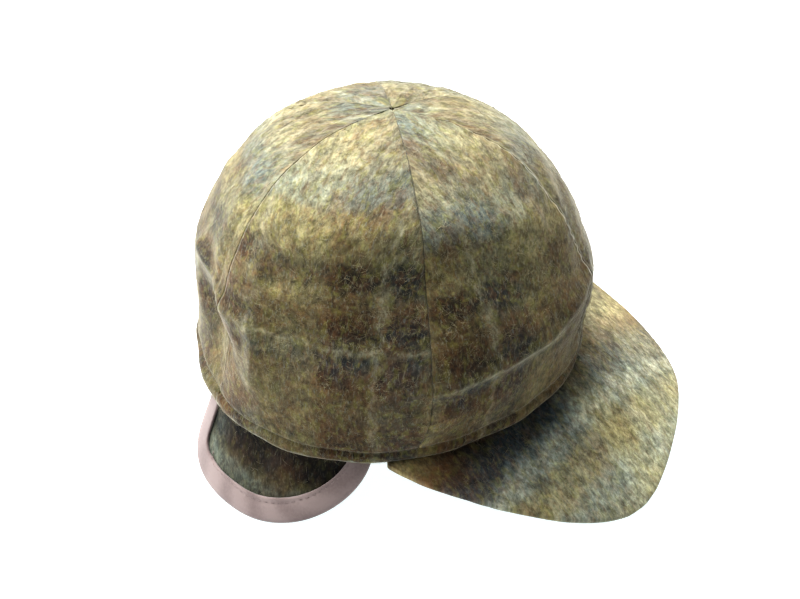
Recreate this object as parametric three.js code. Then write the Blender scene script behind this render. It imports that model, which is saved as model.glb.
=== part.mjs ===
import * as THREE from 'three';
import { mergeVertices } from 'three/addons/utils/BufferGeometryUtils.js';

// A soft wool cap lying on a table: a six-panel crown, a short stiff peak and two ear flaps whose free
// edges are bound with brown tape. Millimetres and degrees, +Z up. The peak points towards -Y and the
// wearer's right is -X. Angles go round the crown from the front centre, positive to the wearer's right.

// Crown
const hemHeight = 37; // lower edge of the crown above the table
const hemRadius = 95.5; // outside of the hem, for a head of about 58 cm
const crownHeight = 115; // hem to the top
const wallHeight = 57; // over the hem, where the plan's wall column holds
const shoulderHeight = 86; // over the hem, where the plan's shoulder column holds
const hemStay = 14; // the sewn hem keeps its line, dents and ridges fade out over this height above it
const crownWall = 2.6; // felted cloth, two layers
const panelCount = 6;
const panelRows = 20;
const panelColumns = 11;
const tipRadius = 1.2; // where each panel's point stops short of the middle of the top
const seamRidge = 0.7; // the sewn seams stand out, the panels between them lie flatter
const lean = { x: -2.5, y: -7, over: 32 }; // the crown stands forward of its hem, from this height up
const topFall = 3.5; // degrees that the top slopes down towards the wearer's left
const clearance = 0.3; // left between neighbouring pieces

// Peak
const peakThickness = 4;
const peakSlope = 0.55; // fall per millimetre where it leaves the hem
const peakDroop = 5; // further fall at the front edge
const peakRows = 7;
const peakColumns = 32;
const peakGathering = 0.8; // below 1 the rows stand closer towards the front edge
const peakUndercut = 0.6; // share of a square-cut edge by which the lower face is drawn in
const peakRootDepth = 3.4; // how far the sewn root reaches in under the hem
const peakTurn = -0.5; // the peak's middle lies a little towards the wearer's left

// Ear flaps
const flapThickness = 2.4;
const flapFlare = 19; // how far the lower edge stands out beyond the root
const flapCurve = 1.25; // 1 is a straight slant, more keeps the upper part upright
const flapTuck = 6; // height of the root tucked up inside the hem
const flapSlack = 0.5; // room for the hem's curve between the root and the crown's inside
const hemLookout = 3; // degrees to both sides over which the root keeps clear of the hem
const flapCentre = 103;
const flapRows = 8;
const flapColumns = 26;
const bindingWidth = 8.5;
const bindingWall = 1.2;
const bindingPress = 0.1; // how far the table presses the corner of the tape's lower edge flat

// Side view of the crown, from the hem to the top: height over the hem, share of the hem's radius.
const profileTable = [
  { up: 0, reach: 1 },
  { up: 20, reach: 1 },
  { up: 40, reach: 0.98 },
  { up: 58, reach: 0.925 },
  { up: 74, reach: 0.835 },
  { up: 88, reach: 0.725 },
  { up: 98, reach: 0.625 },
  { up: 106, reach: 0.5 },
  { up: 111.5, reach: 0.355 },
  { up: 114.3, reach: 0.18 },
  { up: 115, reach: 0 },
];

// Top view of the crown, round from the front: share of the profile's reach at the hem, wall and shoulder.
const planTable = [
  { angle: -180, hem: 0.92, wall: 0.99, shoulder: 0.99 },
  { angle: -120, hem: 0.99, wall: 0.98, shoulder: 1 },
  { angle: -60, hem: 1, wall: 0.98, shoulder: 0.98 },
  { angle: 0, hem: 1, wall: 0.98, shoulder: 0.99 },
  { angle: 40, hem: 0.975, wall: 0.99, shoulder: 1.01 },
  { angle: 60, hem: 0.995, wall: 1.01, shoulder: 1.06 },
  { angle: 90, hem: 1.015, wall: 1.01, shoulder: 1.1 },
  { angle: 120, hem: 0.98, wall: 1.01, shoulder: 1.04 },
  { angle: 145, hem: 0.93, wall: 0.99, shoulder: 1 },
  { angle: 180, hem: 0.92, wall: 0.99, shoulder: 0.99 },
];

// Dents and folds: place on the wall, half lengths along and across, turn from level, depth outwards.
const foldTable = [
  { angle: 130, up: 34, long: 32, wide: 18, turn: 75, depth: -10 },
  { angle: 103, up: 46, long: 18, wide: 8, turn: 90, depth: 3 },
  { angle: 111, up: 67, long: 16, wide: 8, turn: -55, depth: 3.5 },
  { angle: 74, up: 91, long: 42, wide: 10, turn: 0, depth: 5 },
  { angle: 30, up: 86, long: 24, wide: 12, turn: 8, depth: 3.5 },
  { angle: 74, up: 70, long: 36, wide: 12, turn: 0, depth: -3 },
  { angle: 22, up: 48, long: 46, wide: 11, turn: 8, depth: 3.5 },
  { angle: 10, up: 26, long: 58, wide: 14, turn: 5, depth: -6 },
  { angle: -45, up: 26, long: 30, wide: 14, turn: 0, depth: -2 },
];

// Outline of the peak: how far it reaches beyond the hem at each angle from its middle.
const peakTable = [
  { angle: 0, reach: 51.5 },
  { angle: 10, reach: 52.5 },
  { angle: 17, reach: 53.5 },
  { angle: 23, reach: 50.5 },
  { angle: 28, reach: 45.5 },
  { angle: 34, reach: 38.5 },
  { angle: 40, reach: 31 },
  { angle: 46, reach: 24 },
  { angle: 52, reach: 17 },
  { angle: 58, reach: 11 },
  { angle: 63, reach: 6 },
  { angle: 68, reach: 1 },
];

// Outline of an ear flap to both sides of its middle: half its width in degrees, and how square it is.
const flapSides = {
  front: { spread: 31, power: 1.7 },
  rear: { spread: 24.5, power: 5 },
};

const { degToRad, radToDeg, lerp, clamp, smoothstep } = THREE.MathUtils;
const nearby = 0.5; // how far away, in degrees and millimetres, neighbours are taken for a slope

// Reads a column of a table at a place between its rows, on a smooth curve through the rows.
function readTable(table, key, place, column) {
  const last = table.length - 1;
  const at = clamp(place, table[0][key], table[last][key]);
  let row = 0;
  while (row < last - 1 && table[row + 1][key] < at) row += 1;
  const value = (index) => table[clamp(index, 0, last)][column];
  const where = (index) => table[clamp(index, 0, last)][key];
  const span = where(row + 1) - where(row);
  const slope = (index) => {
    const run = where(index + 1) - where(index - 1);
    return run > 0 ? (value(index + 1) - value(index - 1)) / run : 0;
  };
  const t = (at - where(row)) / span;
  const bend0 = slope(row) * span;
  const bend1 = slope(row + 1) * span;
  const rise = value(row + 1) - value(row);
  const cubic = bend0 + bend1 - 2 * rise;
  return value(row) + t * (bend0 + t * (3 * rise - 2 * bend0 - bend1 + t * cubic));
}

// The side view as one curve from hem to hem over the top, so that the top is level in the middle.
const rise = profileTable.map(({ up, reach }) => new THREE.Vector2(reach * hemRadius, up));
const fall = rise.slice(0, -1).reverse().map(({ x, y }) => new THREE.Vector2(-x, y));
const profile = new THREE.SplineCurve([...rise, ...fall]);
profile.arcLengthDivisions = 1200;
const profileLength = profile.getLength() / 2;
const tipShare = 1 - tipRadius / profileLength;

// How far the folds move the wall outwards at a place on it.
function foldDepth(angle, up) {
  let depth = 0;
  for (const fold of foldTable) {
    const sideways = degToRad(angle - fold.angle) * hemRadius;
    const upwards = up - fold.up;
    const turn = degToRad(fold.turn);
    const along = sideways * Math.cos(turn) + upwards * Math.sin(turn);
    const across = upwards * Math.cos(turn) - sideways * Math.sin(turn);
    depth += fold.depth * Math.exp(-((along / fold.long) ** 2) - (across / fold.wide) ** 2);
  }
  return depth;
}

// A point on the outside of the crown: share 0 is the hem and 1 the middle of the top.
function crownPoint(angle, share) {
  const station = profile.getPointAt(share / 2);
  const turn = degToRad(angle);
  const low = smoothstep(station.y, 0, wallHeight);
  const high = smoothstep(station.y, wallHeight, shoulderHeight);
  const [hem, wall, shoulder] = ['hem', 'wall', 'shoulder'].map((column) => (
    readTable(planTable, 'angle', angle, column)
  ));
  const wide = lerp(lerp(hem, wall, low), shoulder, high);
  const closeness = station.x / hemRadius;
  const settled = smoothstep(station.y, 0, hemStay);
  const ridge = seamRidge * Math.cos(panelCount * turn) * settled * closeness;
  const fold = foldDepth(angle, station.y) * settled * Math.min(1, closeness * closeness);
  const radius = station.x * wide + ridge + fold;
  const x = -radius * Math.sin(turn);
  const y = -radius * Math.cos(turn);
  const drop = x * Math.tan(degToRad(topFall)) * (station.y / crownHeight) ** 2;
  const shift = smoothstep(station.y, 0, lean.over);
  return new THREE.Vector3(x + lean.x * shift, y + lean.y * shift, hemHeight + station.y - drop);
}

// The outward direction at a place on the crown, from its neighbours.
function crownNormal(angle, share) {
  const low = Math.max(0, share - nearby / profileLength);
  const high = Math.min(1, share + nearby / profileLength);
  const across = crownPoint(angle - nearby, share).sub(crownPoint(angle + nearby, share));
  const along = crownPoint(angle, high).sub(crownPoint(angle, low));
  return across.cross(along).normalize();
}

// A point on the inside of the crown. The hem's underside stays level.
function crownInside(angle, share) {
  const inward = crownNormal(angle, share);
  if (share === 0) inward.setZ(0).normalize();
  return crownPoint(angle, share).addScaledVector(inward, -crownWall);
}

// Turns lists of points and triangles into a closed mesh whose faces point out.
function solid(points, triangles, name, material) {
  const geometry = new THREE.BufferGeometry();
  geometry.setAttribute('position', new THREE.Float32BufferAttribute(points.flatMap((p) => p.toArray()), 3));
  let volume = 0;
  for (const [a, b, c] of triangles) {
    volume += points[a].dot(points[b].clone().cross(points[c]));
  }
  const facing = volume < 0 ? triangles.map(([a, b, c]) => [a, c, b]) : triangles;
  geometry.setIndex(facing.flat());
  const merged = mergeVertices(geometry, 1e-3);
  merged.computeVertexNormals();
  const mesh = new THREE.Mesh(merged, material);
  mesh.name = name;
  return mesh;
}

// Closes a front and a back grid of points, of equal size, into one solid wall.
function wallBetween(front, back, name, material) {
  const rows = front.length;
  const columns = front[0].length;
  const points = [...front.flat(), ...back.flat()];
  const at = (side, row, column) => (side * rows + row) * columns + column;
  const triangles = [];
  const quad = (a, b, c, d) => triangles.push([a, b, c], [a, c, d]);
  for (let row = 0; row < rows - 1; row += 1) {
    for (let column = 0; column < columns - 1; column += 1) {
      quad(at(0, row, column), at(0, row, column + 1), at(0, row + 1, column + 1), at(0, row + 1, column));
      quad(at(1, row, column), at(1, row + 1, column), at(1, row + 1, column + 1), at(1, row, column + 1));
    }
  }
  for (const [column, flip] of [[0, false], [columns - 1, true]]) {
    for (let row = 0; row < rows - 1; row += 1) {
      const edge = [at(0, row, column), at(0, row + 1, column), at(1, row + 1, column), at(1, row, column)];
      quad(...(flip ? edge.reverse() : edge));
    }
  }
  for (const [row, flip] of [[0, true], [rows - 1, false]]) {
    for (let column = 0; column < columns - 1; column += 1) {
      const edge = [at(0, row, column), at(0, row, column + 1), at(1, row, column + 1), at(1, row, column)];
      quad(...(flip ? edge.reverse() : edge));
    }
  }
  return solid(points, triangles, name, material);
}

// Closes a row of equal rings of points into one solid strip. The caps follow the ring's flat section.
function stripThrough(rings, section, name, material) {
  const size = section.length;
  const triangles = [];
  for (let ring = 0; ring < rings.length - 1; ring += 1) {
    for (let side = 0; side < size; side += 1) {
      const next = (side + 1) % size;
      const here = ring * size;
      const there = here + size;
      triangles.push([here + side, here + next, there + next], [here + side, there + next, there + side]);
    }
  }
  const last = (rings.length - 1) * size;
  const contour = section.map(({ inset, out }) => new THREE.Vector2(inset, out));
  const clockwise = THREE.ShapeUtils.isClockWise(contour);
  for (const [a, b, c] of THREE.ShapeUtils.triangulateShape(contour, [])) {
    triangles.push(clockwise ? [a, b, c] : [a, c, b]);
    triangles.push(clockwise ? [last + a, last + c, last + b] : [last + a, last + b, last + c]);
  }
  return solid(rings.flat(), triangles, name, material);
}

function cloth(color) {
  return new THREE.MeshStandardMaterial({ color, roughness: 0.95, metalness: 0 });
}

// Crown panels: each is a wall between two seams, narrowing to a point at the top.
const panels = [
  { name: 'crown_panel_front_right', from: 0 },
  { name: 'crown_panel_side_right', from: 60 },
  { name: 'crown_panel_rear_right', from: 120 },
  { name: 'crown_panel_front_left', from: -60 },
  { name: 'crown_panel_side_left', from: -120 },
  { name: 'crown_panel_rear_left', from: -180 },
];

function crownPanel({ name, from }) {
  const width = 360 / panelCount;
  const outside = [];
  const inside = [];
  for (let row = 0; row <= panelRows; row += 1) {
    const share = (row / panelRows) * tipShare;
    const radius = profile.getPointAt(share / 2).x;
    const seam = radToDeg(clearance / 2 / radius);
    const angles = [];
    for (let column = 0; column <= panelColumns; column += 1) {
      angles.push(lerp(from + seam, from + width - seam, column / panelColumns));
    }
    outside.push(angles.map((angle) => crownPoint(angle, share)));
    inside.push(angles.map((angle) => crownInside(angle, share)));
  }
  return wallBetween(outside, inside, name, cloth('#6a6040'));
}

// Hem radii: outside, and the least of the inside over the height that a flap's root is tucked in.
function hemOutside(angle) {
  const point = crownPoint(angle, 0);
  return Math.hypot(point.x, point.y);
}

function hemInside(angle) {
  const radii = [];
  for (const height of [0, flapTuck / 2, flapTuck]) {
    for (const aside of [-hemLookout, 0, hemLookout]) {
      const point = crownInside(angle + aside, height / profileLength);
      radii.push(Math.hypot(point.x, point.y));
    }
  }
  return Math.min(...radii);
}

// Peak: it lies close under the hem at its root and falls away from it as part of a cone.
function makePeak() {
  const top = [];
  const bottom = [];
  const widest = peakTable[peakTable.length - 1].angle;
  const longest = peakTable[0].reach;
  const flatDepth = peakThickness * Math.cos(Math.atan(peakSlope + (2 * peakDroop) / longest));
  for (let column = 0; column <= peakColumns; column += 1) {
    const fromMiddle = lerp(-widest, widest, column / peakColumns);
    const angle = fromMiddle + peakTurn;
    const turn = degToRad(angle);
    const start = hemOutside(angle) - peakRootDepth;
    const end = hemOutside(angle) + readTable(peakTable, 'angle', Math.abs(fromMiddle), 'reach');
    const overTop = [];
    const below = [];
    for (let row = 0; row <= peakRows; row += 1) {
      const radius = lerp(start, end, (row / peakRows) ** peakGathering);
      const run = Math.max(0, radius - hemOutside(angle));
      const height = hemHeight - clearance - peakSlope * run - peakDroop * (run / longest) ** 2;
      const slope = run > 0 ? peakSlope + (2 * peakDroop * run) / longest ** 2 : 0;
      const inward = peakThickness * Math.sin(Math.atan(slope));
      const depth = lerp(peakThickness, flatDepth, Math.min(1, run / longest));
      const place = (r, z) => new THREE.Vector3(-r * Math.sin(turn), -r * Math.cos(turn), Math.max(0, z));
      overTop.push(place(radius, height));
      below.push(place(radius - inward * peakUndercut, height - depth));
    }
    top.push(overTop);
    bottom.push(below);
  }
  return wallBetween(top, bottom, 'peak', cloth('#6d6543'));
}

// Ear flaps, worked out for the wearer's right and mirrored for the left.
// The middle layer of the flap at an angle and height, moved outwards from that layer by "out".
function flapPoint(side, angle, height, out) {
  const layer = (a, z) => {
    const below = Math.max(0, (hemHeight - z) / hemHeight);
    const root = hemInside(side * a) - flapSlack - clearance - flapThickness / 2;
    const radius = root + flapFlare * below ** flapCurve;
    const turn = degToRad(a);
    return new THREE.Vector3(-radius * Math.sin(turn), -radius * Math.cos(turn), z);
  };
  const across = layer(angle - nearby, height).sub(layer(angle + nearby, height));
  const along = layer(angle, height + nearby).sub(layer(angle, height - nearby));
  const point = layer(angle, height).addScaledVector(across.cross(along).normalize(), out);
  point.x *= side;
  return point;
}

// The tape's section: inset from the flap's edge into the flap, and out from the flap's middle layer.
const tapeInner = flapThickness / 2 + clearance;
const tapeOuter = tapeInner + bindingWall;
const tapeCorner = 0.7 * bindingWall; // rounding of its folded edge
const tapeSection = [
  { inset: bindingWidth, out: tapeOuter },
  { inset: bindingWidth / 2, out: tapeOuter },
  { inset: 0, out: tapeOuter },
  { inset: -clearance - tapeCorner, out: tapeOuter - tapeCorner },
  { inset: -clearance - bindingWall, out: 0 },
  { inset: -clearance - tapeCorner, out: tapeCorner - tapeOuter },
  { inset: 0, out: -tapeOuter },
  { inset: bindingWidth / 2, out: -tapeOuter },
  { inset: bindingWidth, out: -tapeOuter },
  { inset: bindingWidth, out: -tapeInner },
  { inset: bindingWidth / 2, out: -tapeInner },
  { inset: -clearance, out: -tapeInner },
  { inset: -clearance, out: tapeInner },
  { inset: bindingWidth / 2, out: tapeInner },
  { inset: bindingWidth, out: tapeInner },
];

// The free edge from its front end to its rear end, as angles and heights.
function flapOutline() {
  const edge = [];
  const slant = Math.atan((flapFlare * flapCurve) / hemHeight);
  const lowest = tapeOuter * Math.sin(slant) - bindingPress;
  const reach = hemHeight - lowest;
  for (let column = 0; column <= flapColumns; column += 1) {
    const sweep = lerp(-Math.PI / 2, Math.PI / 2, column / flapColumns);
    const { spread, power } = sweep < 0 ? flapSides.front : flapSides.rear;
    const across = Math.sin(sweep);
    const down = Math.max(0, Math.cos(sweep));
    const size = (Math.abs(across) ** power + down ** power) ** (1 / power);
    edge.push({
      angle: flapCentre + (spread * across) / size,
      height: hemHeight - (reach * down) / size,
    });
  }
  return edge;
}

// The flap is ruled from evenly spaced places along its root to the free edge.
function earFlap(name, side) {
  const edge = flapOutline();
  const outside = [];
  const inside = [];
  edge.forEach(({ angle, height }, column) => {
    const rootAngle = lerp(edge[0].angle, edge[flapColumns].angle, column / flapColumns);
    const front = [];
    const back = [];
    for (let row = 0; row <= flapRows; row += 1) {
      const share = row / flapRows;
      const across = lerp(rootAngle, angle, share);
      const z = lerp(hemHeight + flapTuck, height, share);
      front.push(flapPoint(side, across, z, flapThickness / 2));
      back.push(flapPoint(side, across, z, -flapThickness / 2));
    }
    outside.push(front);
    inside.push(back);
  });
  return wallBetween(outside, inside, name, cloth('#57503a'));
}

function flapBinding(name, side) {
  const edge = flapOutline();
  const degree = degToRad(1) * (hemRadius - crownWall);
  const rings = edge.map((point, index) => {
    const before = edge[Math.max(0, index - 1)];
    const after = edge[Math.min(edge.length - 1, index + 1)];
    const tangent = new THREE.Vector2((after.angle - before.angle) * degree, after.height - before.height);
    tangent.normalize();
    return tapeSection.map(({ inset, out }) => {
      const angle = point.angle - (tangent.y * inset) / degree;
      const height = point.height + tangent.x * inset;
      const place = flapPoint(side, angle, height, out);
      place.z = clamp(place.z, 0, hemHeight - clearance);
      return place;
    });
  });
  return stripThrough(rings, tapeSection, name, cloth('#705550'));
}

// Assembly, stood on the table with the middle of its outline over the origin.
const hat = new THREE.Group();
hat.add(...panels.map(crownPanel));
hat.add(makePeak());
hat.add(earFlap('ear_flap_right', 1), earFlap('ear_flap_left', -1));
hat.add(flapBinding('flap_binding_right', 1), flapBinding('flap_binding_left', -1));
const extent = new THREE.Box3().setFromObject(hat);
const middle = extent.getCenter(new THREE.Vector3());
hat.position.set(-middle.x, -middle.y, -extent.min.z);

export default hat;
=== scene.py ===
import math

import bpy
import numpy as np
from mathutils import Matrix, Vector


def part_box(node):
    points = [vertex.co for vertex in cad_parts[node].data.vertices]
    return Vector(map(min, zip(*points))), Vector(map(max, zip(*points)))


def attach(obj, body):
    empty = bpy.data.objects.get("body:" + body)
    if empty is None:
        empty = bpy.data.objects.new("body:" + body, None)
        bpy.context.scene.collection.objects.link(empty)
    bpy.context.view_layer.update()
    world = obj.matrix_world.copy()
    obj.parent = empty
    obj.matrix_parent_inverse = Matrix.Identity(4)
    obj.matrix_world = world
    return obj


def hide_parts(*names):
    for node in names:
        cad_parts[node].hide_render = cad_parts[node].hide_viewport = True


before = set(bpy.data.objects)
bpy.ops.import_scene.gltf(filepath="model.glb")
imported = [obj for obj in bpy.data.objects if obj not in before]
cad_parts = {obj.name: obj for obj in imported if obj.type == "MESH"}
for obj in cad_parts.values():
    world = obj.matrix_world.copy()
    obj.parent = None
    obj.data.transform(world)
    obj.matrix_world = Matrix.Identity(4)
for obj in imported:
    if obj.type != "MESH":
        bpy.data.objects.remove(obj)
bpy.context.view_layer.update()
mm = 0.001


# The view: a camera held about half a metre from the cap, over its right front,
# looking down on it so that the crown, the right flap and the peak all show.
camera_azimuth = math.radians(-69.72)
camera_elevation = math.radians(38.53)
camera_distance = 496.5 * mm
looked_at = Vector((3.9, 21.0, 46.85)) * mm

camera_data = bpy.data.cameras.new("camera")
camera_data.sensor_width = 36
camera_data.lens = 46.35
camera_data.clip_start = 0.01
camera = bpy.data.objects.new("camera", camera_data)
bpy.context.scene.collection.objects.link(camera)
towards_camera = Vector((
    math.sin(camera_azimuth) * math.cos(camera_elevation),
    -math.cos(camera_azimuth) * math.cos(camera_elevation),
    math.sin(camera_elevation),
))
camera.location = looked_at + towards_camera * camera_distance
camera.rotation_euler = (-towards_camera).to_track_quat("-Z", "Y").to_euler()
bpy.context.scene.camera = camera


# The table and the light: a plain white top of the kind that glows faintly from below, and
# a wide soft lamp that hangs over the cap, so the side near the camera lies in shade.
table_side = 60.0
table_white = (0.55, 0.56, 0.57)
table_glow = (0.86, 0.95, 0.96)
table_glow_strength = 0.9
table_roughness = 0.55
table_grain = 6.0
table_grain_depth = 0.1
key_place = Vector((0.22, 0.42, 0.95))
key_aim = Vector((0, 0, 0.05))
key_side = 1.2
key_power = 75.0
side_window_place = Vector((-0.22, 1.0, 0.42))
side_window_size = 0.8
side_window_power = 11.0
room_white = (0.92, 0.96, 1.0)
room_strength = 0.25


class Value:
    """A number in a material's node tree, so that Python's own signs add its Math nodes."""

    def __init__(self, tree, socket):
        self.tree = tree
        self.socket = socket

    def combined(self, operation, first, second):
        node = self.tree.nodes.new("ShaderNodeMath")
        node.operation = operation
        for place, item in zip(node.inputs, (first, second)):
            if isinstance(item, Value):
                self.tree.links.new(item.socket, place)
            else:
                place.default_value = item
        return Value(self.tree, node.outputs[0])

    def __add__(self, other):
        return self.combined("ADD", self, other)

    def __radd__(self, other):
        return self.combined("ADD", other, self)

    def __mul__(self, other):
        return self.combined("MULTIPLY", self, other)

    def __rmul__(self, other):
        return self.combined("MULTIPLY", other, self)


class Recipe:
    def __init__(self, name):
        self.material = bpy.data.materials.new(name)
        self.material.use_nodes = True
        self.tree = self.material.node_tree
        self.tree.nodes.clear()

    def add(self, kind, sockets=None, settings=None, stops=None, output=0):
        node = self.tree.nodes.new(kind)
        for name, setting in (settings or {}).items():
            setattr(node, name, setting)
        if stops:
            elements = node.color_ramp.elements
            while len(elements) < len(stops):
                elements.new(0.5)
            for element, (place, color) in zip(elements, stops):
                element.position = place
                element.color = (*color, 1)
        for name, item in (sockets or {}).items():
            if isinstance(item, Value):
                self.tree.links.new(item.socket, node.inputs[name])
            else:
                node.inputs[name].default_value = item
        return Value(self.tree, node.outputs[output]) if node.outputs else None

    def finish(self, sockets):
        shader = self.add("ShaderNodeBsdfPrincipled", sockets)
        self.add("ShaderNodeOutputMaterial", {"Surface": shader})
        return self.material


def table_paint():
    recipe = Recipe("table_white")
    place = recipe.add("ShaderNodeTexCoord", output=3)
    grain = recipe.add("ShaderNodeTexNoise", {"Vector": place, "Scale": table_grain})
    return recipe.finish({
        "Base Color": (*table_white, 1),
        "Roughness": table_roughness + table_grain_depth * grain,
        "Emission Color": (*table_glow, 1),
        "Emission Strength": table_glow_strength,
    })


bpy.ops.object.select_all(action="DESELECT")
bpy.ops.mesh.primitive_plane_add(size=table_side)
table = bpy.context.active_object
table.name = "table_top"
table.data.materials.append(table_paint())

key_data = bpy.data.lights.new("window_lamp", "AREA")
key_data.shape = "SQUARE"
key_data.size = key_side
key_data.energy = key_power
key = bpy.data.objects.new("window_lamp", key_data)
bpy.context.scene.collection.objects.link(key)
key.location = key_place
key.rotation_euler = (key_aim - key_place).to_track_quat("-Z", "Y").to_euler()

side_data = bpy.data.lights.new("side_window", "AREA")
side_data.shape = "SQUARE"
side_data.size = side_window_size
side_data.energy = side_window_power
side_window = bpy.data.objects.new("side_window", side_data)
bpy.context.scene.collection.objects.link(side_window)
side_window.location = side_window_place
side_window.rotation_euler = (-side_window_place).to_track_quat("-Z", "Y").to_euler()

room = bpy.data.worlds.new("room")
room.use_nodes = True
room.node_tree.nodes["Background"].inputs["Color"].default_value = (*room_white, 1)
room.node_tree.nodes["Background"].inputs["Strength"].default_value = room_strength
bpy.context.scene.world = room
bpy.context.scene.view_settings.view_transform = "Standard"
bpy.context.scene.view_settings.look = "Medium High Contrast"


# The crown: six wedges of thick felted wool plaid, seamed from the rim to a point on top,
# so soft that it slumps a little and dents. Each wedge is cut from another place in the cloth.
rim_centre = Vector((0.75, 29.5)) * mm
hem_height = 37 * mm
wall_height = 57 * mm
dome_height = 58 * mm
dome_reach = 92 * mm
dome_arc = 120 * mm
panel_half = math.radians(30)
crown_panels = {
    # front_right's cut lays its darkest bands in the hollow under the brow, painted shade there.
    "front_right": {"faces": 30, "cut_across": -15 * mm, "cut_up": 17 * mm},
    "side_right": {"faces": 90, "cut_across": 36 * mm, "cut_up": 0},
    "rear_right": {"faces": 150, "cut_across": 14 * mm, "cut_up": 6 * mm},
    "front_left": {"faces": -30, "cut_across": 52 * mm, "cut_up": 9 * mm},
    "side_left": {"faces": -90, "cut_across": 8 * mm, "cut_up": -8 * mm},
    "rear_left": {"faces": -150, "cut_across": 60 * mm, "cut_up": 12 * mm},
}
weld_distance = 0.005 * mm
flat_turn = math.radians(60)
sharp_turn = math.radians(48)
seam_softness = 1.0
crown_fineness = 3
seam_gap = 0.32 * mm
seam_closing = 0.95 * seam_gap
seam_closing_width = 2.5 * mm
cloth_lumps = 0.55 * mm
lump_width = 9 * mm
lump_bends = (2.1, 1.9)
lump_drifts = (1.7 * lump_width, 1.4 * lump_width)
lump_fade = 6 * lump_width
hem_stitch_height = 5.5 * mm
hem_roll = 0.8 * mm
hem_roll_height = 2.2 * mm
hem_drop = 0.4 * mm
hem_drop_height = 1.0 * mm
stitch_dent = 0.55 * mm
stitch_dent_width = 0.9 * mm
hem_dent = 1.9 * stitch_dent
seam_dent = 0.5 * stitch_dent
seam_dent_width = 1.2 * stitch_dent_width
pucker_depth = 0.22 * mm
pucker_length = 7 * mm
pucker_drift = 11 * mm
pucker_bend = 2.3
pucker_inset = 3 * mm
pucker_width = 3 * mm

# Each crease runs through places in degrees round from the front and mm over the hem.
crown_creases = [
    {"line": [(142, 60), (128, 58), (112, 56), (103, 57)],
     "rise": 2.2 * mm, "width": 4.0 * mm},
    {"line": [(136, 42), (124, 40), (114, 38)],
     "rise": -2.6 * mm, "width": 8.0 * mm},
    {"line": [(103, 57), (101, 46), (103, 32)],
     "rise": 1.4 * mm, "width": 4.5 * mm},
    {"line": [(96, 64), (93, 50), (96, 36)],
     "rise": -1.0 * mm, "width": 6.0 * mm},
    {"line": [(0, 53), (13, 51), (24, 46), (40, 43), (60, 41)],
     "rise": 1.5 * mm, "width": 3.6 * mm},
    {"line": [(-4, 42), (13, 40), (27, 35), (42, 34), (55, 33)],
     "rise": -1.2 * mm, "width": 5.0 * mm},
    {"line": [(104, 96), (77, 98), (58, 100), (33, 95), (15, 88)],
     "rise": 1.8 * mm, "width": 5.5 * mm},
    {"line": [(98, 82), (76, 83), (50, 84), (33, 78)],
     "rise": -2.6 * mm, "width": 8.0 * mm},
]

plaid_repeat = 180 * mm
weft_repeat = 1.1
band_drift = 22.0
band_blur = 0.065
warp_shows = 0.34
warp_shows_more = 0.22
olive_haze = 0.12
rust_patches = 0.40
slate_patches = 0.25
dark_patches = 0.50
rust_flecks = 0.36
moss_flecks = 0.45
straw_hairs = 0.38
grey_hairs = 0.36
speck_shade = (0.70, 0.60)
blotch_shade = (0.56, 0.88)
felt_bump = 0.24
felt_bump_height = 0.35 * mm
felt_sheen = 0.25
olive = (0.086, 0.077, 0.037)
straw = (0.150, 0.133, 0.064)
pale_straw = (0.215, 0.199, 0.122)
white_straw = (0.230, 0.224, 0.165)
pale_olive = (0.164, 0.155, 0.090)
grey_green = (0.116, 0.137, 0.116)
slate = (0.014, 0.021, 0.027)
dark_brown = (0.012, 0.007, 0.004)
purple_brown = (0.016, 0.009, 0.008)
black_brown = (0.005, 0.004, 0.004)
rust_brown = (0.070, 0.032, 0.012)
moss = (0.092, 0.088, 0.024)
fibre_straw = (0.172, 0.156, 0.105)
fibre_grey = (0.118, 0.126, 0.110)
# The weft runs up the crown from the hem: dark bands low on the wall and pale ones over the top.
# This is partly the plaid and partly painted shade on the wall and painted light on the top.
weft_bands_with_painted_shading = [
    (0.00, dark_brown),
    (0.07, dark_brown),
    (0.12, rust_brown),
    (0.18, olive),
    (0.24, rust_brown),
    (0.285, slate),
    (0.303, slate),
    (0.311, olive),
    (0.317, white_straw),
    (0.325, olive),
    (0.338, purple_brown),
    (0.385, dark_brown),
    (0.42, rust_brown),
    (0.465, olive),
    (0.50, dark_brown),
    (0.555, black_brown),
    (0.58, straw),
    (0.635, straw),
    (0.665, olive),
    (0.69, grey_green),
    (0.75, grey_green),
    (0.79, pale_straw),
    (0.86, pale_straw),
    (0.90, pale_olive),
    (0.95, grey_green),
]
warp_bands = [
    (0.00, slate),
    (0.010, olive),
    (0.017, white_straw),
    (0.026, olive),
    (0.036, dark_brown),
    (0.11, dark_brown),
    (0.135, rust_brown),
    (0.16, straw),
    (0.27, straw),
    (0.305, olive),
    (0.319, white_straw),
    (0.333, olive),
    (0.36, purple_brown),
    (0.42, rust_brown),
    (0.50, olive),
    (0.58, grey_green),
    (0.64, rust_brown),
    (0.72, straw),
    (0.79, rust_brown),
    (0.83, straw),
    (0.90, straw),
    (0.93, slate),
    (0.97, slate),
]


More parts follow.
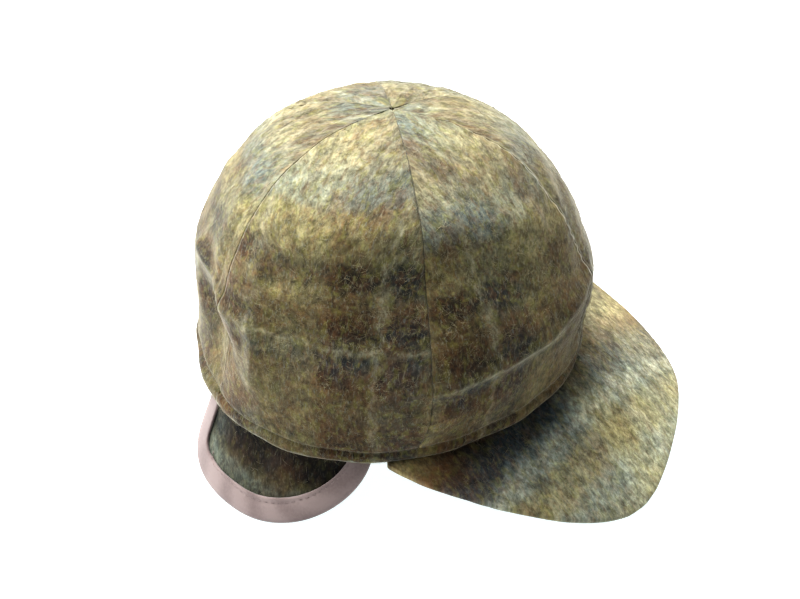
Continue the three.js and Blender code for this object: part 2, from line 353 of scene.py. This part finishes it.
def felted_plaid(name, weft_bands_with_painted_shading, warp_bands, tone, flecks):
    """Heathered wool: a soft plaid, blurred by felting, under tangled fibres of other colours.

    tone lightens or darkens the whole cloth, and flecks is how much the stray fibres show.
    """
    recipe = Recipe(name)
    cloth = recipe.add("ShaderNodeUVMap", settings={"uv_map": "cloth"})
    drift = recipe.add(
        "ShaderNodeTexNoise", {"Vector": cloth, "Scale": band_drift, "Detail": 4.0}, output=1)
    drift = recipe.add(
        "ShaderNodeVectorMath", {0: drift, 1: (0.5, 0.5, 0.5)}, {"operation": "SUBTRACT"})
    drift = recipe.add(
        "ShaderNodeVectorMath", {0: drift, "Scale": band_blur}, {"operation": "SCALE"})
    blurred = recipe.add(
        "ShaderNodeVectorMath", {0: cloth, 1: drift}, {"operation": "ADD"})
    split = recipe.add("ShaderNodeSeparateXYZ", {"Vector": blurred})
    up = Value(recipe.tree, split.socket.node.outputs[1])
    weft_place = recipe.add(
        "ShaderNodeMath", {0: up, 1: weft_repeat}, {"operation": "FLOORED_MODULO"})
    warp_place = recipe.add(
        "ShaderNodeMath", {0: split, 1: 1.0}, {"operation": "FLOORED_MODULO"})
    weft = recipe.add("ShaderNodeValToRGB", {"Fac": weft_place}, stops=weft_bands_with_painted_shading)
    warp = recipe.add("ShaderNodeValToRGB", {"Fac": warp_place}, stops=warp_bands)
    for bands in (weft, warp):
        bands.socket.node.color_ramp.interpolation = "B_SPLINE"

    def fibres(turn, stretch, fineness, seed, low, high):
        """1 where fibres laid at this turn show, from noise that is cut off at low and high."""
        laid = recipe.add("ShaderNodeMapping", {
            "Vector": cloth,
            "Location": (seed, seed * 1.7, 0),
            "Rotation": (0, 0, math.radians(turn)),
            "Scale": (fineness, fineness / stretch, 1),
        })
        tangle = recipe.add("ShaderNodeTexNoise", {
            "Vector": laid, "Scale": 1.0, "Detail": 3.0, "Roughness": 0.65, "Distortion": 0.6})
        return recipe.add("ShaderNodeMapRange", {
            "Value": tangle, "From Min": low, "From Max": high, "To Min": 0.0, "To Max": 1.0})

    def mixed(share, under, over, blend="MIX"):
        node = recipe.tree.nodes.new("ShaderNodeMix")
        node.data_type = "RGBA"
        node.blend_type = blend
        for place, item in ((0, share), (6, under), (7, over)):
            if isinstance(item, Value):
                recipe.tree.links.new(item.socket, node.inputs[place])
            elif place == 0:
                node.inputs[0].default_value = item
            else:
                node.inputs[place].default_value = (*item, 1)
        return Value(recipe.tree, node.outputs[2])

    speck = fibres(turn=20, stretch=1.3, fineness=150, seed=3.7, low=0.32, high=0.68)
    blotch = fibres(turn=70, stretch=1.3, fineness=52, seed=9.2, low=0.33, high=0.67)
    across = fibres(turn=4, stretch=3.0, fineness=210, seed=1.3, low=0.44, high=0.62)
    upright = fibres(turn=94, stretch=3.4, fineness=200, seed=4.1, low=0.58, high=0.67)
    aslant = fibres(turn=38, stretch=3.0, fineness=170, seed=7.9, low=0.58, high=0.67)
    rusty = fibres(turn=66, stretch=1.8, fineness=74, seed=23.1, low=0.49, high=0.62)
    mossy = fibres(turn=12, stretch=1.6, fineness=58, seed=31.7, low=0.50, high=0.63)
    warm_patch = fibres(turn=0, stretch=1.4, fineness=11, seed=3.3, low=0.48, high=0.64)
    cool_patch = fibres(turn=0, stretch=1.4, fineness=12, seed=17.1, low=0.48, high=0.64)
    dark_patch = fibres(turn=0, stretch=1.2, fineness=24, seed=41.3, low=0.50, high=0.68)
    shade = tone * (speck_shade[0] + speck_shade[1] * speck)
    shade = shade * (blotch_shade[0] + blotch_shade[1] * blotch)
    color = mixed(warp_shows + warp_shows_more * across, weft, warp)
    color = mixed(olive_haze * flecks * blotch, color, olive)
    color = mixed(rust_patches * flecks * warm_patch, color, rust_brown)
    color = mixed(slate_patches * cool_patch, color, slate)
    color = mixed(dark_patches * dark_patch, color, black_brown)
    color = mixed(rust_flecks * flecks * rusty, color, rust_brown)
    color = mixed(moss_flecks * flecks * mossy, color, moss)
    color = mixed(1.0, color, shade, "MULTIPLY")
    color = mixed(straw_hairs * flecks * upright, color, fibre_straw)
    color = mixed(grey_hairs * flecks * aslant, color, fibre_grey)
    height = speck * 0.6 + across * 0.3 + upright * 0.5 + aslant * 0.5 + blotch * 0.8
    surface = recipe.add("ShaderNodeBump", {
        "Height": height, "Strength": felt_bump, "Distance": felt_bump_height})
    return recipe.finish({
        "Base Color": color,
        "Roughness": 0.95,
        "Specular IOR Level": 0.12,
        "Sheen Weight": felt_sheen * flecks,
        "Sheen Roughness": 0.3,
        "Sheen Tint": (0.95, 0.92, 0.78, 1),
        "Normal": surface,
    })


def fine_copy(node, name, softness, levels):
    """The node's solid as one skin of four-sided faces, rounded and made fine."""
    piece = bpy.data.objects.new(name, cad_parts[node].data.copy())
    bpy.context.scene.collection.objects.link(piece)
    piece.data.materials.clear()
    bpy.ops.object.select_all(action="DESELECT")
    piece.select_set(True)
    bpy.context.view_layer.objects.active = piece
    bpy.ops.mesh.customdata_custom_splitnormals_clear()
    bpy.ops.object.mode_set(mode="EDIT")
    bpy.ops.mesh.select_all(action="SELECT")
    bpy.ops.mesh.remove_doubles(threshold=weld_distance)
    bpy.ops.mesh.tris_convert_to_quads(face_threshold=flat_turn, shape_threshold=flat_turn)
    bpy.ops.mesh.select_all(action="DESELECT")
    bpy.ops.mesh.edges_select_sharp(sharpness=sharp_turn)
    bpy.ops.transform.edge_crease(value=softness)
    bpy.ops.object.mode_set(mode="OBJECT")
    fine = piece.modifiers.new("fine", "SUBSURF")
    fine.levels = levels
    fine.render_levels = levels
    bpy.ops.object.modifier_apply(modifier=fine.name)
    bpy.ops.object.shade_smooth()
    return piece


def points_of(piece):
    """The piece's points and the way that each faces, as two arrays."""
    points = np.zeros(len(piece.data.vertices) * 3)
    facing = np.zeros_like(points)
    piece.data.vertices.foreach_get("co", points)
    piece.data.vertices.foreach_get("normal", facing)
    return points.reshape(-1, 3), facing.reshape(-1, 3)


def move_points(piece, points):
    """Puts the piece's points where the array says."""
    piece.data.vertices.foreach_set("co", points.ravel())
    piece.data.update()


def lump(piece, depth, width):
    """Soft unevenness, as in felt that has been worn and packed away."""
    clouds = bpy.data.textures.new("lumps", "CLOUDS")
    clouds.noise_scale = width
    lumps = piece.modifiers.new("lumps", "DISPLACE")
    lumps.texture = clouds
    lumps.strength = depth
    bpy.context.view_layer.objects.active = piece
    bpy.ops.object.modifier_apply(modifier=lumps.name)


def lay_on_cloth(piece, across, up):
    """Gives every corner its place in the plaid, in repeats of it."""
    layer = piece.data.uv_layers.new(name="cloth")
    corners = np.zeros(len(piece.data.loops), dtype=np.int32)
    piece.data.loops.foreach_get("vertex_index", corners)
    places = np.stack([across, up], axis=1) / plaid_repeat
    layer.data.foreach_set("uv", places[corners].ravel())


def bump_at(distance, width):
    """1 at no distance, fading softly to 0 over about the width."""
    return np.exp(-((distance / width) ** 2))


def uneven(around, up):
    """Two waves over the crown, each bent by the other so that no lump is like the next."""
    beside = np.sin(around / lump_width + lump_bends[0] * np.sin(up / lump_drifts[0]))
    above = np.sin(up / lump_width + lump_bends[1] * np.sin(around / lump_drifts[1]))
    return beside * above


def rise_along(line, around, height, width):
    """1 on a crease that runs through the line's places, fading over the width beside it."""
    away = np.full(len(around), np.inf)
    for (angle, up), (next_angle, next_up) in zip(line[:-1], line[1:]):
        start = np.array((math.radians(angle) * dome_reach, up * mm))
        run = np.array((math.radians(next_angle) * dome_reach, next_up * mm)) - start
        beside = np.column_stack((around, height)) - start
        share = np.clip(beside @ run / (run @ run), 0, 1)
        away = np.minimum(away, np.linalg.norm(beside - share[:, None] * run, axis=1))
    return bump_at(away, width)


wool = felted_plaid("felted_wool_plaid", weft_bands_with_painted_shading, warp_bands, tone=0.92, flecks=1.0)
crown_pieces = {}
for side, panel in crown_panels.items():
    node = "crown_panel_" + side
    piece = fine_copy(node, "wool_" + node, seam_softness, crown_fineness)
    points, facing = points_of(piece)
    offset = points[:, :2] - np.array(rim_centre)
    middle = math.radians(panel["faces"])
    across = offset @ np.array((-math.cos(middle), math.sin(middle)))
    outwards = offset @ np.array((-math.sin(middle), -math.cos(middle)))
    over_hem = points[:, 2] - hem_height
    reach = np.hypot(across, outwards)
    slope = np.arctan2(np.maximum(over_hem - wall_height, 0) / dome_height, reach / dome_reach)
    up = np.minimum(over_hem, wall_height) + dome_arc * slope / (math.pi / 2)
    lay_on_cloth(piece, across + panel["cut_across"], up + panel["cut_up"])
    from_seam = reach * np.sin(panel_half - np.abs(np.arctan2(across, outwards)))
    from_middle = np.column_stack((offset, over_hem))
    outside = 2 * (facing * from_middle).sum(1) / np.linalg.norm(from_middle, axis=1)
    outside = np.clip(outside, 0, 1)
    depth = hem_dent * bump_at(over_hem - hem_stitch_height, stitch_dent_width)
    depth -= hem_roll * bump_at(over_hem - hem_roll_height, hem_roll_height)
    depth += seam_dent * bump_at(from_seam, seam_dent_width)
    around = dome_reach * (middle + np.arctan2(across, outwards))
    rise = sum(crease["rise"] * rise_along(crease["line"], around, over_hem, crease["width"])
               for crease in crown_creases)
    rise += cloth_lumps * (uneven(around, up) * np.clip(reach / lump_fade, 0, 1))
    away = np.column_stack((offset, np.maximum(over_hem - wall_height / 2, 0)))
    away /= np.linalg.norm(away, axis=1)[:, None]
    points += away * rise[:, None]
    seam_side = np.sign(across)
    seam_turn = middle + seam_side * panel_half
    closing = seam_closing * bump_at(from_seam, seam_closing_width) * seam_side
    points[:, 2] -= hem_drop * bump_at(over_hem, hem_drop_height)
    points[:, 0] -= closing * np.cos(seam_turn)
    points[:, 1] += closing * np.sin(seam_turn)
    puckers = np.sin(2 * math.pi * up / pucker_length + pucker_bend * np.sin(up / pucker_drift))
    depth += pucker_depth * puckers * bump_at(from_seam - pucker_inset, pucker_width)
    move_points(piece, points - away * (depth * outside)[:, None])
    piece.data.materials.append(wool)
    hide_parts(node)
    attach(piece, "root")
    crown_pieces[side] = piece


# The peak: a short stiffened shade of the same plaid, sewn under the rim in front,
# curved to the head and drooping towards both sides, its edge turned in and plain.
peak_softness = 0.35
peak_fineness = 2
peak_lumps = 0.7 * mm
peak_lump_width = 21 * mm
peak_turn = math.radians(21)
pale_stripe = (0.185, 0.180, 0.130)
# The dark slate band next to the crown's rim is painted shade along the joint, set among the
# plaid's bands.
peak_weft_with_painted_shade = [
    (0.00, olive),
    (0.36, olive),
    (0.41, straw),
    (0.45, rust_brown),
    (0.485, dark_brown),
    (0.51, slate),
    (0.56, slate),
    (0.585, grey_green),
    (0.597, pale_stripe),
    (0.61, grey_green),
    (0.64, olive),
    (0.70, straw),
    (0.74, grey_green),
    (0.80, pale_olive),
]
peak_warp = [
    (0.00, slate),
    (0.04, slate),
    (0.075, grey_green),
    (0.11, straw),
    (0.19, olive),
    (0.23, grey_green),
    (0.243, pale_stripe),
    (0.257, pale_stripe),
    (0.27, straw),
    (0.34, grey_green),
    (0.44, pale_straw),
    (0.54, pale_straw),
    (0.62, rust_brown),
    (0.72, dark_brown),
    (0.86, slate),
]
peak = fine_copy("peak", "wool_peak", peak_softness, peak_fineness)
lump(peak, peak_lumps, peak_lump_width)
points, _ = points_of(peak)
offset = points[:, :2] - np.array(rim_centre)
lay_on_cloth(peak, offset @ np.array((math.cos(peak_turn), -math.sin(peak_turn))),
             -offset @ np.array((math.sin(peak_turn), math.cos(peak_turn))))
peak.data.materials.append(felted_plaid(
    "felted_wool_of_the_peak", peak_weft_with_painted_shade, peak_warp, tone=1.8, flecks=0.6))
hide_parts("peak")
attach(peak, "root")


# The ear flaps: rounded lobes of the plaid, let down from inside the rim on both sides
# so that they stand out a little and lie on the table with their lower edge.
flap_softness = 0.4
flap_fineness = 2
flap_lumps = 0.6 * mm
flap_lump_width = 15 * mm
# The flaps' cloth carries painted shade from the crown's rim over them: the black near the top
# and over much of the length is painted shade, not the plaid.
painted_shade_black = (0.002, 0.002, 0.003)
flap_weft_with_painted_shade = [
    (0.00, pale_olive),
    (0.085, grey_green),
    (0.10, olive),
    (0.125, dark_brown),
    (0.15, painted_shade_black),
    (0.26, painted_shade_black),
]
flap_warp_with_painted_shade = [
    (0.00, painted_shade_black),
    (0.13, painted_shade_black),
    (0.16, dark_brown),
    (0.205, rust_brown),
    (0.25, dark_brown),
    (0.29, painted_shade_black),
    (0.36, painted_shade_black),
    (0.395, slate),
    (0.43, grey_green),
    (0.52, grey_green),
]
# A darker copy of the wool, with a low tone and few stray fibres, as painted shade under the
# crown's rim.
flap_wool_with_painted_shade = felted_plaid(
    "felted_wool_of_the_flaps_with_painted_shade", flap_weft_with_painted_shade, flap_warp_with_painted_shade, tone=0.6, flecks=0.35)
ear_flaps = {}
for side in ("right", "left"):
    node = "ear_flap_" + side
    flap = fine_copy(node, "wool_" + node, flap_softness, flap_fineness)
    lump(flap, flap_lumps, flap_lump_width)
    points, _ = points_of(flap)
    lay_on_cloth(flap, points[:, 1], points[:, 2])
    flap.data.materials.append(flap_wool_with_painted_shade)
    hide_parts(node)
    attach(flap, "root")
    ear_flaps[side] = flap


# The binding: a matt mauve-brown twill tape folded round each flap's edge
# and stitched through near its inner edge on both faces.
tape_color = (0.140, 0.107, 0.100)
tape_dark = (0.092, 0.067, 0.063)
tape_rib = 0.9 * mm
tape_rib_scale = 1.0 / (tape_rib * 20 / plaid_repeat) * 0.5
tape_bend = 36 * mm
binding_softness = 0.45
binding_fineness = 2
binding_stitch_inset = 1.9 * mm
binding_groove = 0.35 * mm
binding_groove_width = 0.7 * mm
groove_turns = np.radians(np.linspace(-176, -4, 60))
groove_lookout = math.radians(3)


def twill_tape():
    recipe = Recipe("binding_twill")
    along = recipe.add("ShaderNodeUVMap", settings={"uv_map": "cloth"})
    ribs = recipe.add("ShaderNodeTexWave", {
        "Vector": along, "Scale": tape_rib_scale, "Distortion": 0.8, "Detail": 1.0},
        {"bands_direction": "DIAGONAL"})
    place = recipe.add("ShaderNodeTexCoord", output=3)
    worn = recipe.add("ShaderNodeTexNoise", {"Vector": place, "Scale": 90.0, "Detail": 5.0})
    fluff = recipe.add("ShaderNodeTexNoise", {"Vector": place, "Scale": 900.0, "Detail": 2.0})
    shade = recipe.add("ShaderNodeValToRGB", {
        "Fac": 0.35 * ribs + 0.35 * worn + 0.3 * fluff},
        stops=[(0.25, tape_dark), (0.62, tape_color)])
    surface = recipe.add("ShaderNodeBump", {
        "Height": 0.7 * ribs + 0.5 * fluff, "Strength": 0.5, "Distance": 0.2 * mm})
    return recipe.finish({
        "Base Color": shade,
        "Roughness": 0.85,
        "Specular IOR Level": 0.2,
        "Sheen Weight": 0.2,
        "Sheen Roughness": 0.5,
        "Normal": surface,
    })


tape = twill_tape()
bindings = {}
for side in ("right", "left"):
    node = "flap_binding_" + side
    binding = fine_copy(node, "tape_" + node, binding_softness, binding_fineness)
    low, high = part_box(node)
    middle = (low + high) / 2
    points, facing = points_of(binding)
    turn = np.arctan2(points[:, 2] - high.z, points[:, 1] - middle.y)
    out = np.hypot(points[:, 2] - high.z, points[:, 1] - middle.y)
    lay_on_cloth(binding, turn * tape_bend, out)
    inner_edge = np.array([out[np.abs(turn - at) < groove_lookout].min() for at in groove_turns])
    from_edge = out - np.interp(turn, groove_turns, inner_edge)
    dent = binding_groove * bump_at(from_edge - binding_stitch_inset, binding_groove_width)
    move_points(binding, points - facing * dent[:, None])
    binding.data.materials.append(tape)
    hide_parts(node)
    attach(binding, "root")
    bindings[side] = binding


# The stitches: a row of olive thread that holds the hem's turned edge all round the crown,
# and a row of mauve thread through each binding near its inner edge.
stitch_length = 2.6 * mm
stitch_pitch = 3.4 * mm
stitch_thick = 0.42 * mm
stitch_sunk = 0.05 * mm
stitch_places = np.array((0.0, 0.2, 0.5, 0.8, 1.0))
stitch_rises = np.array((-0.9, 0.1, 0.25, 0.1, -0.9))
stitch_radii = stitch_thick * np.array((0.25, 0.5, 0.55, 0.5, 0.25))
hem_step = 1.5
clear_of_cap = 0.2
flap_aside = 0.09
clear_of_flap = 0.1
olive_thread = (0.055, 0.048, 0.026)
mauve_thread = (0.150, 0.110, 0.104)


def slivers(name, rings, radii, paint):
    """Many thin three-sided bodies as one mesh, each along its own row of places.

    rings holds the places, a row for each body, and radii how thick it is at each of them.
    """
    count, places = rings.shape[:2]
    along = np.gradient(rings, axis=1)
    along /= np.linalg.norm(along, axis=2)[..., None]
    aside = np.cross(along, np.broadcast_to((0.13, 0.21, 0.97), along.shape))
    aside /= np.linalg.norm(aside, axis=2)[..., None]
    upward = np.cross(aside, along)
    body = []
    for turn in (0, 2 * math.pi / 3, 4 * math.pi / 3):
        spoke = math.cos(turn) * aside + math.sin(turn) * upward
        body.append(rings + spoke * np.asarray(radii)[None, :, None])
    points = np.stack(body, axis=2).reshape(-1, 3)
    own = np.arange(count)[:, None] * (places * 3)
    faces = []
    for place in range(places - 1):
        for side in range(3):
            low = (place * 3 + side, place * 3 + (side + 1) % 3)
            faces.append(own + np.array((low[0], low[1], low[1] + 3, low[0] + 3)))
    sides = np.concatenate(faces).tolist()
    last = places * 3 - 3
    ends = np.concatenate((own + np.array((2, 1, 0)), own + last + np.array((0, 1, 2)))).tolist()
    mesh = bpy.data.meshes.new(name)
    mesh.from_pydata(points.tolist(), [], sides + ends)
    mesh.materials.append(paint)
    piece = bpy.data.objects.new(name, mesh)
    bpy.context.scene.collection.objects.link(piece)
    return piece


def thread_paint(name, color):
    recipe = Recipe(name)
    place = recipe.add("ShaderNodeTexCoord", output=3)
    twist = recipe.add("ShaderNodeTexNoise", {"Vector": place, "Scale": 1400.0, "Detail": 2.0})
    dark = tuple(0.5 * part for part in color)
    shade = recipe.add("ShaderNodeValToRGB", {"Fac": twist}, stops=[(0.35, dark), (0.6, color)])
    return recipe.finish({"Base Color": shade, "Roughness": 0.7, "Specular IOR Level": 0.3})


def stitches_along(name, places, facing, paint):
    """Stitches laid end to end along a row of places on the cloth."""
    steps = np.linalg.norm(np.diff(places, axis=0), axis=1)
    run = np.concatenate(([0], np.cumsum(steps)))
    starts = np.arange(0, run[-1] - stitch_length, stitch_pitch)
    at = starts[:, None] + stitch_places * stitch_length
    rings = np.stack([np.interp(at, run, places[:, axis]) for axis in range(3)], axis=2)
    lifts = np.stack([np.interp(at, run, facing[:, axis]) for axis in range(3)], axis=2)
    height = stitch_thick * stitch_rises - stitch_sunk
    return slivers(name, rings + lifts * height[None, :, None], stitch_radii, paint)


hem_places = []
hem_facing = []
bpy.context.view_layer.update()
for angle in np.arange(-180, 180, hem_step):
    turn = math.radians(angle)
    inward = Vector((math.sin(turn), math.cos(turn), 0))
    start = Vector((*rim_centre, hem_height + hem_stitch_height)) - inward * clear_of_cap
    side = min(crown_panels, key=lambda name: abs(math.remainder(
        turn - math.radians(crown_panels[name]["faces"]), 2 * math.pi)))
    found, place, normal, _ = crown_pieces[side].ray_cast(start, inward)
    if found:
        hem_places.append(place)
        hem_facing.append(normal)
hem_row = stitches_along("hem_stitches", np.array(hem_places), np.array(hem_facing),
                         thread_paint("olive_thread", olive_thread))
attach(hem_row, "root")

mauve = thread_paint("mauve_thread", mauve_thread)
for side, sign in (("right", -1), ("left", 1)):
    binding = bindings[side]
    low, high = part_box("flap_binding_" + side)
    middle_y = (low.y + high.y) / 2
    points, facing = points_of(binding)
    turn = np.arctan2(points[:, 2] - high.z, points[:, 1] - middle_y)
    out = np.hypot(points[:, 2] - high.z, points[:, 1] - middle_y)
    for face_name, way in (("outer", sign), ("inner", -sign)):
        turned = facing[:, 0] * way > 0.5
        row = []
        row_facing = []
        edge = np.array([out[turned & (np.abs(turn - at) < groove_lookout)].min()
                         for at in groove_turns])
        edge[2:-2] = np.convolve(edge, np.full(5, 0.2), "valid")
        for at, reach in zip(groove_turns, edge + binding_stitch_inset):
            start = Vector((sign * flap_aside + way * clear_of_flap,
                            middle_y + reach * math.cos(at), high.z + reach * math.sin(at)))
            found, place, normal, _ = binding.ray_cast(start, Vector((-way, 0, 0)))
            if found:
                row.append(place)
                row_facing.append(normal)
        stitches = stitches_along("stitches_" + face_name + "_" + side, np.array(row),
                                  np.array(row_facing), mauve)
        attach(stitches, "root")


# The nap: loose pale and dark hairs that felting leaves on the face of the wool, lying
# on the cloth in all directions and standing a little off it.
hair_radius = 0.030 * mm
hair_lift = 0.45 * mm
hair_shortest = 1.6 * mm
hair_longest = 6.0 * mm
hair_floor = 0.4 * mm
hair_pale = (0.215, 0.192, 0.122)
hair_dark = (0.06, 0.05, 0.03)
hair_aside = 0.4 * mm
hair_bend = 0.5
hair_taper = np.array((1.0, 1.0, 0.8, 0.25))
crown_panel_hairs = 3200
peak_hairs = 3000
flap_hairs = 90
crown_middle = np.array((*rim_centre, hem_height))
faces_out = 0.3
faces_up = 0.4


def hair_paint():
    recipe = Recipe("loose_wool_hair")
    place = recipe.add("ShaderNodeTexCoord", output=3)
    drift = recipe.add("ShaderNodeTexNoise", {"Vector": place, "Scale": 160.0, "Detail": 3.0})
    shade = recipe.add("ShaderNodeValToRGB", {"Fac": drift},
                       stops=[(0.38, hair_dark), (0.62, hair_pale)])
    return recipe.finish({"Base Color": shade, "Roughness": 0.8, "Specular IOR Level": 0.2})


def nap(name, piece, count, chosen, seed):
    """Hairs on the faces that chosen picks, each a bent sliver with its root in the cloth."""
    random = np.random.default_rng(seed)
    mesh = piece.data
    centres = np.zeros(len(mesh.polygons) * 3)
    normals = np.zeros_like(centres)
    areas = np.zeros(len(mesh.polygons))
    mesh.polygons.foreach_get("center", centres)
    mesh.polygons.foreach_get("normal", normals)
    mesh.polygons.foreach_get("area", areas)
    centres = centres.reshape(-1, 3)
    normals = normals.reshape(-1, 3)
    weight = areas * chosen(centres, normals)
    picked = random.choice(len(areas), count, p=weight / weight.sum())
    facing = normals[picked]
    flat = np.cross(facing, random.normal(size=(count, 3)))
    flat /= np.linalg.norm(flat, axis=1)[:, None]
    sideways = np.cross(facing, flat)
    length = random.uniform(hair_shortest, hair_longest, count)
    bend = random.uniform(-hair_bend, hair_bend, count)
    lift = hair_lift * random.uniform(0.4, 1.6, count)
    aside = random.uniform(-hair_aside, hair_aside, count)
    root = centres[picked] + sideways * aside[:, None]
    rings = []
    for share, raised in ((0.0, -0.3), (0.3, 0.6), (0.65, 1.0), (1.0, 0.7)):
        rings.append(root + flat * (length * share)[:, None]
                     + sideways * (length * bend * share ** 2)[:, None]
                     + facing * (lift * raised)[:, None])
    rings = np.stack(rings, axis=1)
    rings[:, :, 2] = np.maximum(rings[:, :, 2], hair_floor)
    hairs = slivers(name, rings, hair_radius * hair_taper, hair)
    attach(hairs, "root")


def outer_face(centres, normals):
    away = centres - crown_middle
    return (away * normals).sum(1) > faces_out * np.linalg.norm(away, axis=1)


def upper_face(centres, normals):
    return normals[:, 2] > faces_up


def right_face(centres, normals):
    return (normals[:, 0] < -faces_out) & (centres[:, 2] < hem_height)


def left_face(centres, normals):
    return (normals[:, 0] > faces_out) & (centres[:, 2] < hem_height)


hair = hair_paint()
for number, side in enumerate(crown_panels):
    nap("nap_crown_" + side, crown_pieces[side], crown_panel_hairs, outer_face, seed=11 + number)
nap("nap_peak", peak, peak_hairs, upper_face, seed=21)
nap("nap_flap_right", ear_flaps["right"], flap_hairs, right_face, seed=31)
nap("nap_flap_left", ear_flaps["left"], flap_hairs, left_face, seed=32)
